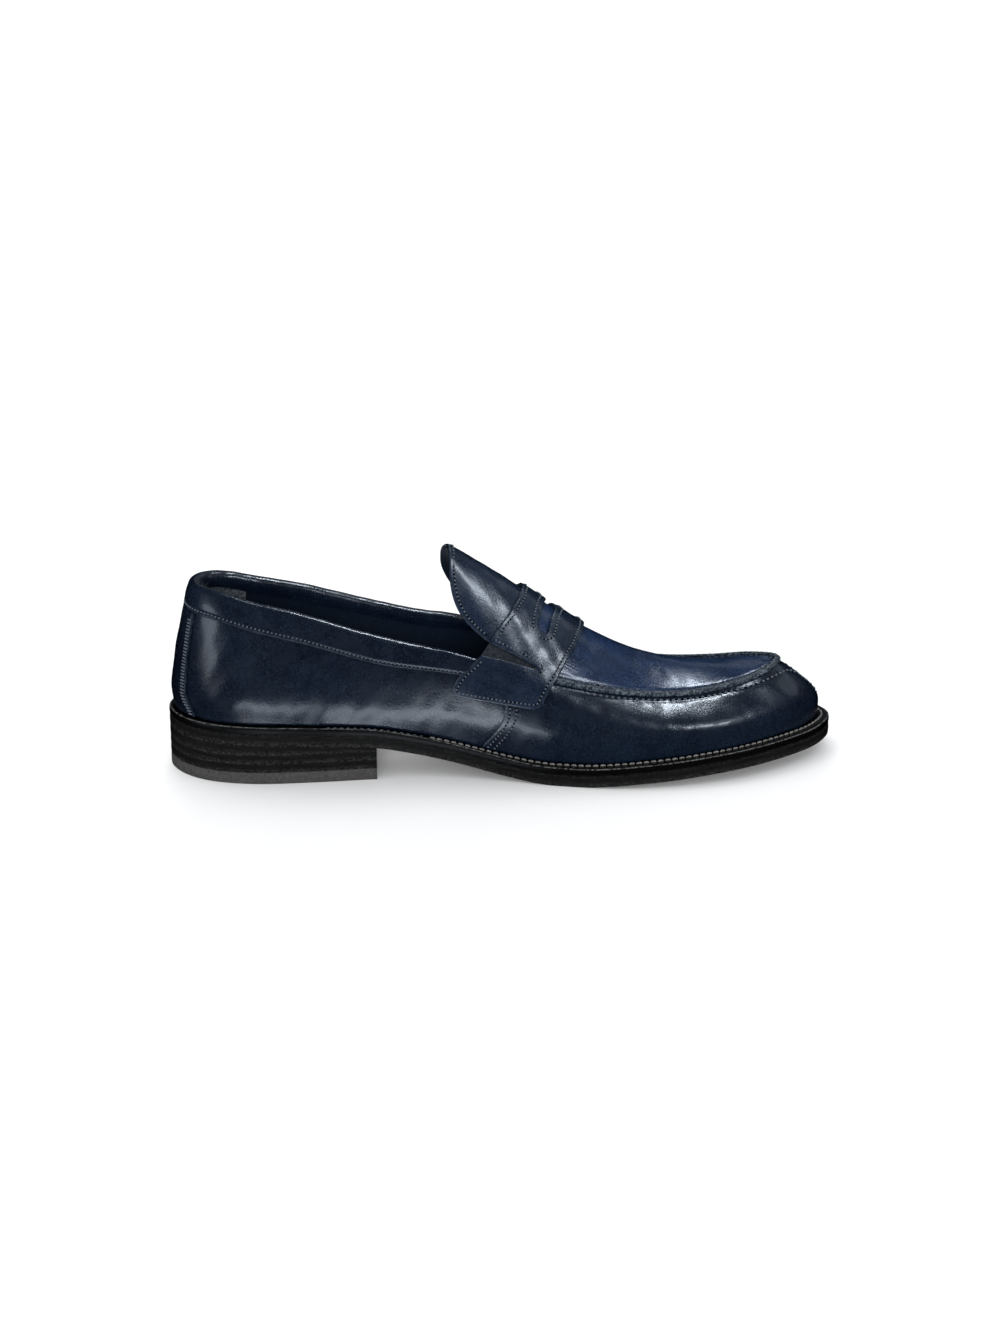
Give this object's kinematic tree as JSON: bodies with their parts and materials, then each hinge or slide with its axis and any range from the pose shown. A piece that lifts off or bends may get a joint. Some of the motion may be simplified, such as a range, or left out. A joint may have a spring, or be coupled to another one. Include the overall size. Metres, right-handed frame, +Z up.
{
  "type": "penny loafer",
  "caption": "Leather slip-on loafer for the right foot: saddle strap with a slot, raised apron seam, tongue flap, welted sole and stacked heel.",
  "frame": {"origin": "centre of the bounding box on the ground plane that the heel and the ball of the sole rest on", "axes": "+X from the heel to the toe, +Y to the inner (medial) side of the foot, +Z up"},
  "size_m": [0.309, 0.0962, 0.1023],
  "materials": {
    "upper_leather": "smooth burnished navy calf, soft gloss",
    "lining_leather": "matte dark lining leather",
    "suede": "napped suede",
    "stiffener": "stiff resin-soaked non-woven",
    "sole_leather": "waxed black edge, satin",
    "rubber": "matte dark rubber",
    "board": "matte cellulose fibre board",
    "cork": "granular cork",
    "foam": "open-cell foam",
    "steel": "plain steel",
    "thread": "waxed thread"
  },
  "bodies": {
    "shoe": {"vamp": "upper_leather", "apron": "upper_leather", "apron_seam_roll": "upper_leather", "apron_thread": "thread", "strap": "upper_leather", "quarter_lateral": "upper_leather", "quarter_medial": "upper_leather", "backstay": "upper_leather", "collar": "upper_leather", "vamp_lining": "lining_leather", "quarter_lining_lateral": "lining_leather", "quarter_lining_medial": "lining_leather", "heel_grip": "suede", "toe_puff": "stiffener", "heel_counter": "stiffener", "sock": "lining_leather", "heel_pad": "foam", "insole_board": "board", "cork_filler": "cork", "shank": "steel", "welt": "sole_leather", "welt_thread": "thread", "outsole": "sole_leather", "heel_wedge": "sole_leather", "heel_lift_upper": "sole_leather", "heel_lift_lower": "sole_leather", "top_piece": "rubber", "heel_nail_1": "steel", "heel_nail_2": "steel", "heel_nail_3": "steel", "heel_nail_4": "steel", "heel_nail_5": "steel"},
    "tongue": {"tongue": "upper_leather", "tongue_lining": "lining_leather"}
  },
  "joints": [
    {"name": "tongue_lift", "type": "hinge", "parent": "shoe", "child": "tongue", "pos_m": [0.0086, 0.0014, 0.0806], "axis": [0, 1, 0], "range_deg": [0, 22], "stiffness_Nm_per_rad": 0.05}
  ]
}
